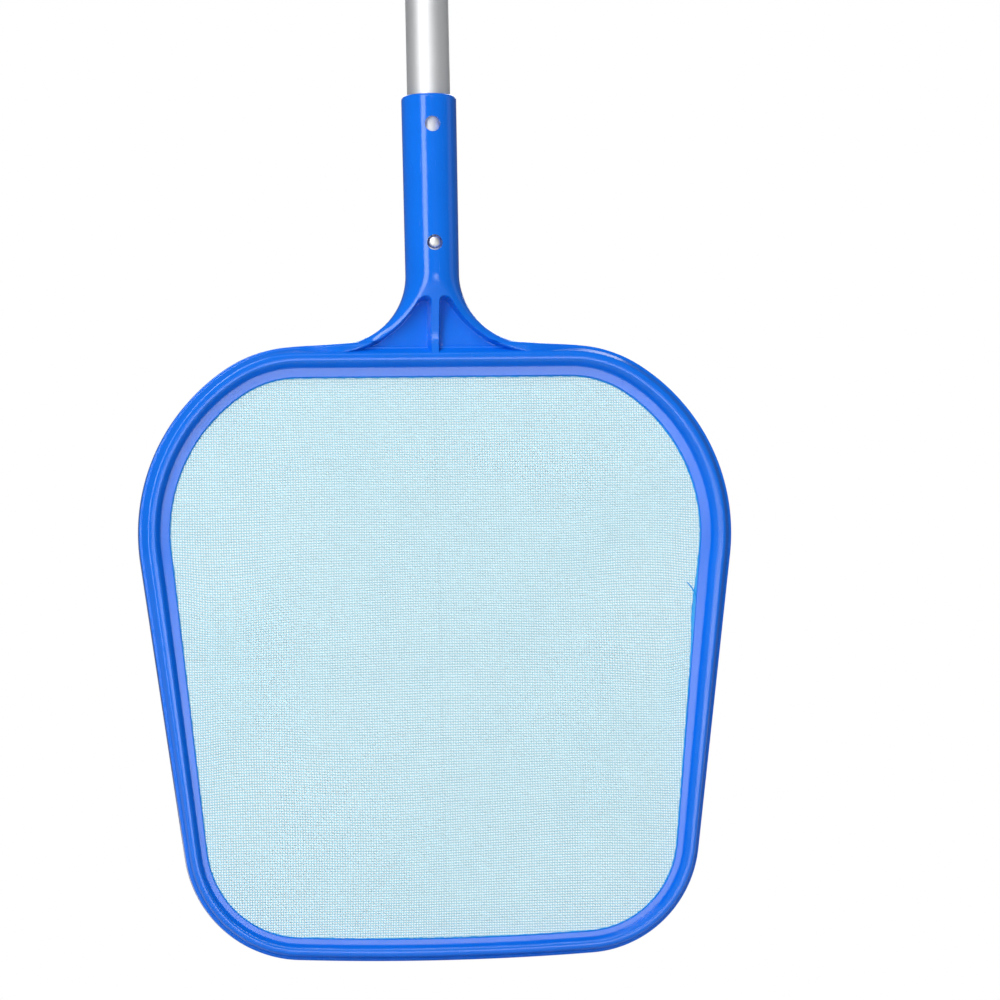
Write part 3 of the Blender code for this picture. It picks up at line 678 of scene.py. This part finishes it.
def fan_skin(across):
    """Outer skin of socket and fan: |y| = d (1 - |x/w|^p)^(1/p), pushed in to the web in the pockets.

    Below the middle of the frame's outer wall it goes on as a thin skin that dives into the ridge.
    """
    heights, widths, depths, powers = (part[:, None] for part in fan_rings())
    start, end = flare_tangent()
    x = widths * across
    y = depths * (1.0 - np.abs(across) ** powers) ** (1.0 / powers)
    fade = smooth_step((np.abs(x) - start[0]) / (end[0] - start[0]))
    front = y * (1.0 - fade) + np.minimum(y, -BEAD_FRONT - BEHIND_BEAD) * fade
    carved = pocket_depth(x, heights)
    half_web = np.minimum(y, FAN_WEB / 2)
    front = front + (np.minimum(half_web, front) - front) * carved
    back = y + (half_web - y) * carved
    z = np.broadcast_to(heights, x.shape)
    inset = crown_centre()[1] + CROWN_RADIUS - z
    front = np.maximum(front, np.interp(inset, DIVE_INSETS, DIVE_DEPTHS))
    back = np.where(inset > DIVE_INSETS[0], front - FAN_SKIN, -back)
    front_side = np.stack([x, -front, z], axis=-1)
    back_side = np.stack([x, -back, z], axis=-1)
    rings = np.concatenate([front_side, back_side[:, -2:0:-1]], axis=1)
    last = np.concatenate([front_side[-1:], front_side[-1:, -2:0:-1]], axis=1)
    return np.concatenate([rings, last])


def socket_inside(across):
    """Bore of the socket from its floor up to the mouth, then the rounded lip out to the wall."""
    lip = np.linspace(0.0, math.pi / 2, 9)[:-1]
    radius = np.concatenate([[SOCKET_BORE] * 3, SOCKET_RADIUS_MOUTH - SOCKET_LIP + SOCKET_LIP * np.sin(lip)])
    height = np.concatenate([[-SOCKET_DEPTH, -SOCKET_DEPTH / 2, -0.0004],
                             -SOCKET_LIP * (1.0 - np.cos(lip))])
    radius = radius[:, None]
    depth = radius * np.sqrt(1.0 - across ** 2)
    z = np.broadcast_to(height[:, None], depth.shape)
    front_side = np.stack([radius * across, -depth, z], axis=-1)
    back_side = np.stack([radius * across, depth, z], axis=-1)
    return np.concatenate([front_side, back_side[:, -2:0:-1]], axis=1)


def flattened(ring):
    """A ring pressed onto its middle line, which closes the end of a skin."""
    return ring[None] * (1.0, 0.0, 1.0)


def make_socket_and_fan(finish):
    """One skin from the floor of the bore, over the lip and down the outside to the foot of the fan."""
    even = np.linspace(-1.0, 1.0, FAN_COLUMNS)
    across = FAN_EVENNESS * even + (1.0 - FAN_EVENNESS) * np.sin(even * math.pi / 2)
    inside = socket_inside(across)
    outside = fan_skin(across)
    grid = np.concatenate([flattened(inside[0]), inside, outside])
    piece = surface("head_socket_and_fan", grid + (0.0, 0.0, MOUTH_Z), finish, sharp=50)
    drill(piece, [(MOUTH_Z - depth, SOCKET_HOLE_RADIUS) for depth in SOCKET_HOLES])
    return piece


# ---------------------------------------------------------------- net


class NetShape:
    """Outline, opening and hollow of the net, each as a function of places across and up the head."""

    def __init__(self):
        half = frame_half()
        loop, normal = frame_loop()
        count = len(half)
        share = narrowing(loop[:, 1])
        self.edge = self.inset(loop, normal, between(FRAME_WIDTH, share) - NET_HOLD)[:count]
        self.opening = self.inset(loop, normal, between(FRAME_WIDTH, share))[:count]
        self.middle = (self.edge[0, 1] + self.edge[-1, 1]) / 2

    @staticmethod
    def inset(loop, normal, distance):
        return loop + normal * distance[:, None]

    @staticmethod
    def side(line, z):
        """Half width of a line at some heights."""
        return np.interp(z, line[::-1, 1], line[::-1, 0])

    @staticmethod
    def ends(line, x):
        """Lowest and highest point of a line at some distances from the axis."""
        widest = line[:, 0].argmax()
        top = np.interp(np.abs(x), line[:widest + 1, 0], line[:widest + 1, 1])
        foot = np.interp(np.abs(x), line[widest:, 0][::-1], line[widest:, 1][::-1])
        return foot, top

    def hollow(self, x, z):
        """Depth: flat in the flange, then sagging by 1 - u^2 times 1 - v^2 across the opening."""
        half_width = np.maximum(self.side(self.opening, z), 1e-4)
        foot, top = self.ends(self.opening, x)
        u = np.clip(np.abs(x) / half_width, 0.0, 1.0)
        v = np.clip((z - (foot + top) / 2) / np.maximum((top - foot) / 2, 1e-4), -1.0, 1.0)
        ripple = NET_RIPPLE * np.sin(x * 95.0 + 2.0 * np.sin(z * 40.0)) * np.sin(z * 70.0 + 1.0)
        bowl = (1.0 - u ** 2) * (1.0 - v ** 2)
        return NET_DEPTH + NET_SAG * bowl + ripple * np.sqrt(bowl)

    def pulled(self, x, z):
        """Shift of the weave in its own plane: soft pulls about a few places, none at the edge."""
        shift_x = np.zeros_like(x)
        shift_z = np.zeros_like(x)
        for across, up, reach, pull_x, pull_z in NET_PULLS:
            near = np.exp(-((x - across) ** 2 + (z - self.middle - up) ** 2) / reach ** 2)
            shift_x = shift_x + pull_x * near
            shift_z = shift_z + pull_z * near
        foot, top = self.ends(self.edge, x)
        room = np.minimum(self.side(self.edge, z) - np.abs(x), np.minimum(top - z, z - foot))
        free = smooth_step(room / NET_STILL_EDGE)
        return x + shift_x * free, z + shift_z * free


def thread_tubes(shape, lines, samples, low, high, upright, over):
    """Tubes of the threads that run one way: each a chain of small rings, one at every crossing.

    A ring's middle is the crossing, pulled and hollowed as the net is, and lifted by the weave to the
    front or the back of the net in turn. Each thread is cut off at the net's edge.
    """
    along = np.clip(samples[None, :], low[:, None], high[:, None])
    fixed = np.broadcast_to(lines[:, None], along.shape)
    x, z = (fixed, along) if upright else (along, fixed)
    depth = shape.hollow(x, z) + np.where(over, WEAVE_LIFT, -WEAVE_LIFT)
    x, z = shape.pulled(x, z)
    angle = np.linspace(0.0, math.tau, THREAD_SIDES, endpoint=False)
    radius = UPRIGHT_RADIUS if upright else CROSS_RADIUS
    side = radius * np.cos(angle)
    ring_x = x[..., None] + (side if upright else 0.0 * side)
    ring_z = z[..., None] + (0.0 * side if upright else side)
    points = np.stack([ring_x, depth[..., None] + radius * np.sin(angle), ring_z], axis=-1)
    live = np.diff(along, axis=1) > 1e-6
    return points, live


def tube_faces(points, live):
    """Quads of all tubes where a thread is live, their end caps, and only the points that they use."""
    threads, rings, sides = points.shape[:3]
    number = np.arange(threads * rings * sides).reshape(threads, rings, sides)
    here = number[:, :-1]
    there = number[:, 1:]
    walls = np.stack([here, np.roll(here, -1, axis=2), np.roll(there, -1, axis=2), there], axis=-1)
    padded = np.pad(live, ((0, 0), (1, 1)))
    first = padded[:, 1:] & ~padded[:, :-1]
    last = padded[:, :-1] & ~padded[:, 1:]
    faces = np.concatenate([walls[live].reshape(-1, 4), number[first][:, ::-1], number[last]])
    used, renumbered = np.unique(faces, return_inverse=True)
    return points.reshape(-1, 3)[used], renumbered.reshape(-1, 4)


def make_net_quarter(name, shape, right, upper, finish):
    """A quarter of the woven net, with its threads up and across, as one light mesh."""
    count = int(NET_REACH / NET_PITCH)
    number = np.arange(count)
    across = (number + 0.5) * NET_PITCH * (1 if right else -1)
    up = shape.middle + (number + 0.5) * NET_PITCH * (1 if upper else -1)
    foot, top = shape.ends(shape.edge, across)
    keep_up = np.abs(across) < shape.edge[:, 0].max()
    keep_across = (up < shape.edge[0, 1]) & (up > shape.edge[-1, 1])
    middle = np.full(count, shape.middle)
    width = shape.side(shape.edge, up)
    chequer = (number[:, None] + number[None, :] + right + upper) % 2 == 0
    stations_up = np.concatenate([[shape.middle], up])
    stations_across = np.concatenate([[0.0], across])
    over = np.concatenate([~chequer[:, :1], chequer], axis=1)
    bounds_up = (np.maximum(middle, foot), top) if upper else (foot, middle)
    bounds_across = (np.zeros(count), width) if right else (-width, np.zeros(count))
    parts = []
    for lines, stations, bounds, keep, upright, weave in (
            (across, stations_up, bounds_up, keep_up, True, over),
            (up, stations_across, bounds_across, keep_across, False, ~over)):
        order = np.argsort(stations)
        points, live = thread_tubes(shape, lines[keep], stations[order], bounds[0][keep], bounds[1][keep],
                                    upright, weave[keep][:, order])
        parts.append(tube_faces(points, live))
    (points_up, faces_up), (points_across, faces_across) = parts
    mesh = bpy.data.meshes.new(name)
    points = np.concatenate([points_up, points_across]) + (0.0, 0.0, MOUTH_Z)
    fill_mesh(mesh, points, np.concatenate([faces_up, faces_across + len(points_up)]))
    mesh.shade_smooth()
    net = new_object(name, mesh, finish)
    tall = abs((shape.edge[0, 1] if upper else shape.edge[-1, 1]) - shape.middle)
    return net


# ---------------------------------------------------------------- pole


def make_section(name, has_neck, finish):
    """A tube with rounded ends, and a swaged neck at the top where the next section plugs on."""
    low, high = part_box(name)
    outer = TUBE_RADIUS
    bore = TUBE_RADIUS - TUBE_WALL
    if has_neck:
        shoulder = high.z - NECK_LENGTH
        neck_bore = NECK_RADIUS - TUBE_WALL
        corners = [(outer, low.z), (outer, shoulder - NECK_TAPER), (NECK_RADIUS, shoulder),
                   (NECK_RADIUS, high.z), (neck_bore, high.z), (neck_bore, shoulder),
                   (bore, shoulder - NECK_TAPER), (bore, low.z)]
        reach = [EDGE_ROUND, NECK_ROUND, NECK_ROUND, EDGE_ROUND] * 2
    else:
        corners = [(outer, low.z), (outer, high.z), (bore, high.z), (bore, low.z)]
        reach = [EDGE_ROUND] * 4
    return surface(name + "_tube", turned(rounded(corners, reach)), finish, close_rows=True)


def make_pole(finish):
    """The three sections, drilled for the buttons that lock them."""
    head_button = box_middle("head_snap_button")
    lower_button = box_middle("lower_snap_button")
    middle_button = box_middle("middle_snap_button")
    for name, has_neck, holes in (
            ("pole_section_lower", True, (head_button, lower_button)),
            ("pole_section_middle", True, (lower_button, middle_button)),
            ("pole_section_upper", False, (middle_button,))):
        tube = make_section(name, has_neck, finish)
        drill(tube, [(height, BUTTON_HOLE_RADIUS) for height in holes])
        finish_piece(tube, "root", "anodised_aluminium", name)


def box_middle(node):
    low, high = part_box(node)
    return (low.z + high.z) / 2


# ---------------------------------------------------------------- hand grip


def grooves(radius, heights, size):
    """Corners of grooves round the grip, as (radius, height)."""
    half_width, depth = size
    half_floor = half_width * GROOVE_FLOOR_SHARE
    return [corner for height in heights for corner in (
        (radius, height - half_width), (radius - depth, height - half_floor),
        (radius - depth, height + half_floor), (radius, height + half_width))]


def make_grip(finish):
    """Grip turned from its side view: collar, fine grooves, a raised ribbed band, a rounded end."""
    low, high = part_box("hand_grip")
    length = high.z - low.z
    inside = TUBE_RADIUS + GRIP_CLEARANCE
    body = GRIP_BODY_RADIUS
    side = [(GRIP_COLLAR_RADIUS, 0.0), (GRIP_COLLAR_RADIUS, GRIP_COLLAR[0]), (body, GRIP_COLLAR[1])]
    side += grooves(body, GRIP_LOW_GROOVES, GRIP_GROOVE)
    side += [(body, GRIP_BAND[0]), (GRIP_BAND_RADIUS, GRIP_BAND[1])]
    side += grooves(GRIP_BAND_RADIUS, GRIP_BAND_GROOVES, GRIP_BAND_GROOVE)
    side += [(GRIP_BAND_RADIUS, GRIP_BAND[2]), (body, GRIP_BAND[3])]
    side += grooves(body, GRIP_HIGH_GROOVES, GRIP_GROOVE)
    side += [(body, length), (0.0, length), (0.0, length - GRIP_CAP), (inside, length - GRIP_CAP),
             (inside, 0.0)]
    reach = [0.0004] + [0.0002] * (len(side) - 6) + [GRIP_END_ROUND, 0.0, 0.0, 0.0006, 0.0004]
    grid = turned(rounded(side, reach), height=low.z)
    return surface("grip_moulding", grid, finish, close_rows=True)


# ---------------------------------------------------------------- snap locks


def make_button(node, finish):
    """Domed button on its flange with the rivet behind, turned about Y."""
    low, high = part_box(node)
    flange = high.y - BUTTON_FLANGE_FROM_BACK
    base = flange + BUTTON_FLANGE
    flange_radius = (high.x - low.x) / 2
    rivet = high.y - RIVET_HEAD
    dome = np.linspace(0.0, math.pi / 2, 12)
    crown = np.stack([BUTTON_RADIUS * np.sin(dome), low.y + BUTTON_DOME * (1.0 - np.cos(dome))], axis=1)
    rest = [(BUTTON_RADIUS, flange), (flange_radius, flange), (flange_radius, base),
            (RIVET_RADIUS, base), (RIVET_RADIUS, rivet), (RIVET_HEAD_RADIUS, rivet),
            (RIVET_HEAD_RADIUS, high.y), (0.0, high.y)]
    profile = np.concatenate([crown, rest])
    return surface(node + "_turning", turned(profile, 48, "Y", box_middle(node)), finish)


def strip_path(node, button_height):
    """Middle line of the spring strip as (y, z), with the sign that its bend has from the button."""
    low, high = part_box(node)
    bend_up = high.z - button_height > button_height - low.z
    sign = 1.0 if bend_up else -1.0
    reach = (high.z if bend_up else low.z) - button_height
    front = low.y + SPRING_THICKNESS / 2
    back = high.y - SPRING_THICKNESS / 2
    bend = SPRING_BEND_RADIUS
    tip = reach * sign - bend - SPRING_THICKNESS / 2
    turn = np.linspace(math.pi, 0.0, 17)
    around = np.stack([bend * np.cos(turn), tip + bend * np.sin(turn)], axis=1)
    legs = [np.array([(front, height) for height in SPRING_FRONT_LEG]), around,
            np.array([(back - inward, height) for inward, height in SPRING_BACK_LEG])]
    line = spread(np.concatenate(legs), SPRING_STEP)
    return line * (1.0, sign)


def make_spring(node, button_height, finish):
    """A flat strip carried along its path: superellipse across it, rounded off at its two ends."""
    line = strip_path(node, button_height)
    ahead = np.gradient(line, axis=0)
    ahead /= np.linalg.norm(ahead, axis=1, keepdims=True)
    across = np.stack([-ahead[:, 1], ahead[:, 0]], axis=1)
    place = np.arange(len(line)) * SPRING_STEP
    from_end = np.minimum(place, place[::-1])
    tip = np.clip(1.0 - from_end / SPRING_TIP, 0.0, 1.0)
    half_width = SPRING_WIDTH / 2 * np.sqrt(1.0 - 0.97 * tip ** 2)
    angle = np.linspace(0.0, math.tau, 24, endpoint=False)
    side = np.sign(np.cos(angle)) * np.abs(np.cos(angle)) ** 0.25
    out = np.sign(np.sin(angle)) * np.abs(np.sin(angle)) ** 0.25 * SPRING_THICKNESS / 2
    x = half_width[:, None] * side
    y = line[:, None, 0] + across[:, None, 0] * out
    z = line[:, None, 1] + across[:, None, 1] * out + button_height
    grid = np.stack([x, y, z], axis=-1)
    grid = np.concatenate([grid[:1].mean(axis=1, keepdims=True).repeat(24, axis=1), grid,
                           grid[-1:].mean(axis=1, keepdims=True).repeat(24, axis=1)])
    return surface(node + "_strip", grid, finish, sharp=60)


def make_locks():
    button_finish = button_steel()
    spring_finish = spring_steel()
    for place in ("head", "lower", "middle"):
        button = f"{place}_snap_button"
        spring = f"{place}_snap_spring"
        height = box_middle(button)
        finish_piece(make_button(button, button_finish), f"{place}_button", "button_steel", button)
        strip = make_spring(spring, height, spring_finish)
        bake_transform(strip)
        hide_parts(spring)


# ---------------------------------------------------------------- stage, light and camera


def make_floor():
    """A plain floor: pure white to the eye, and a matt light grey to everything that it lights."""
    finish = Finish("studio_floor", Base_Color=FLOOR_GREY, Roughness=0.9)
    white = finish.node("ShaderNodeEmission", {}, {"Strength": 1.0})
    seen = finish.node("ShaderNodeLightPath", output="Is Camera Ray")
    lit = Signal(finish, finish.shader.outputs[0])
    shown = finish.node("ShaderNodeMixShader", {}, {0: seen, 1: lit, 2: white})
    finish.feed(finish.tree.nodes["Material Output"], {"Surface": shown})
    corners = np.array([[-1, -1], [1, -1], [1, 1], [-1, 1]]) * FLOOR_HALF_SIZE
    points = np.column_stack([corners, np.full(4, FLOOR_Z)])
    mesh = bpy.data.meshes.new("floor")
    fill_mesh(mesh, points, np.array([[0, 1, 2, 3]]))
    new_object("floor", mesh, finish.material)


def make_world():
    """White to the eye, and a dimmer even light on the object."""
    world = bpy.data.worlds.new("studio")
    world.use_nodes = True
    bpy.context.scene.world = world
    tree = world.node_tree
    output = tree.nodes["World Output"]
    lighting = tree.nodes["Background"]
    lighting.inputs["Color"].default_value = SKY_COLOUR
    lighting.inputs["Strength"].default_value = SKY_STRENGTH
    seen = tree.nodes.new("ShaderNodeBackground")
    seen.inputs["Color"].default_value = (1.0, 1.0, 1.0, 1.0)
    chooser = tree.nodes.new("ShaderNodeMixShader")
    path = tree.nodes.new("ShaderNodeLightPath")
    tree.links.new(path.outputs["Is Camera Ray"], chooser.inputs[0])
    tree.links.new(lighting.outputs[0], chooser.inputs[1])
    tree.links.new(seen.outputs[0], chooser.inputs[2])
    tree.links.new(chooser.outputs[0], output.inputs["Surface"])


def make_light(name, place, target, width, height, power):
    """A soft box that faces its target."""
    lamp = bpy.data.lights.new(name, "AREA")
    lamp.shape = "RECTANGLE"
    lamp.size = width
    lamp.size_y = height
    lamp.energy = power
    made = bpy.data.objects.new(name, lamp)
    made.location = place
    direction = np.array(target) - np.array(place)
    made.rotation_euler = (math.acos(-direction[2] / np.linalg.norm(direction)), 0.0,
                           math.atan2(direction[1], direction[0]) - math.pi / 2)
    made.visible_camera = False
    bpy.context.scene.collection.objects.link(made)


def make_lights():
    """A tall box at the left, a high one, a low card and a slim one in front, one right, one behind."""
    for box in SOFT_BOXES:
        make_light(*box)


def make_camera():
    """At the front of the head, from a little to its left and below, turned slightly on its axis."""
    camera = bpy.data.objects.new("camera", bpy.data.cameras.new("camera"))
    camera.data.sensor_width = SENSOR_WIDTH
    camera.data.lens = SENSOR_WIDTH * CAMERA_DISTANCE / SEEN_WIDTH
    camera.data.clip_start = NEAREST_SEEN
    right = np.array([math.cos(CAMERA_TURN), -math.sin(CAMERA_TURN), 0.0])
    aim = np.array([0.0, 0.0, MOUTH_Z - AIM_BELOW_MOUTH]) + AIM_RIGHT * right
    ahead = np.array([math.sin(CAMERA_TURN) * math.cos(CAMERA_RISE),
                      math.cos(CAMERA_TURN) * math.cos(CAMERA_RISE), math.sin(CAMERA_RISE)])
    camera.location = aim - CAMERA_DISTANCE * ahead
    camera.rotation_euler = (math.pi / 2 + CAMERA_RISE, CAMERA_ROLL, -CAMERA_TURN)
    bpy.context.scene.collection.objects.link(camera)
    bpy.context.scene.camera = camera
    bpy.context.scene.view_settings.view_transform = "Standard"


# ---------------------------------------------------------------- assembly


def finish_piece(piece, body, slot, *nodes):
    """Let a finished piece ride on its body and stand for its CAD nodes."""
    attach(piece, body)
    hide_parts(*nodes)
    return piece


def make_net(finish):
    shape = NetShape()
    for upper in (True, False):
        for right in (True, False):
            name = f"net_{'upper' if upper else 'lower'}_{'right' if right else 'left'}"
            finish_piece(make_net_quarter(name, shape, right, upper, finish), "root", "net_thread",
                         "net_mesh")


def main():
    make_camera()
    make_world()
    make_lights()
    make_floor()
    blue = frame_plastic()
    finish_piece(make_rim(blue), "root", "frame_plastic", "head_frame")
    finish_piece(make_socket_and_fan(blue), "root", "frame_plastic", "head_frame")
    thin = thin_plastic()
    finish_piece(make_weld(thin), "root", "frame_plastic", "head_frame")
    finish_piece(make_wisp(thin), "root", "frame_plastic", "head_frame")
    make_net(net_thread())
    make_pole(drawn_aluminium())
    finish_piece(make_grip(grip_plastic()), "root", "grip_plastic", "hand_grip")
    make_locks()


main()
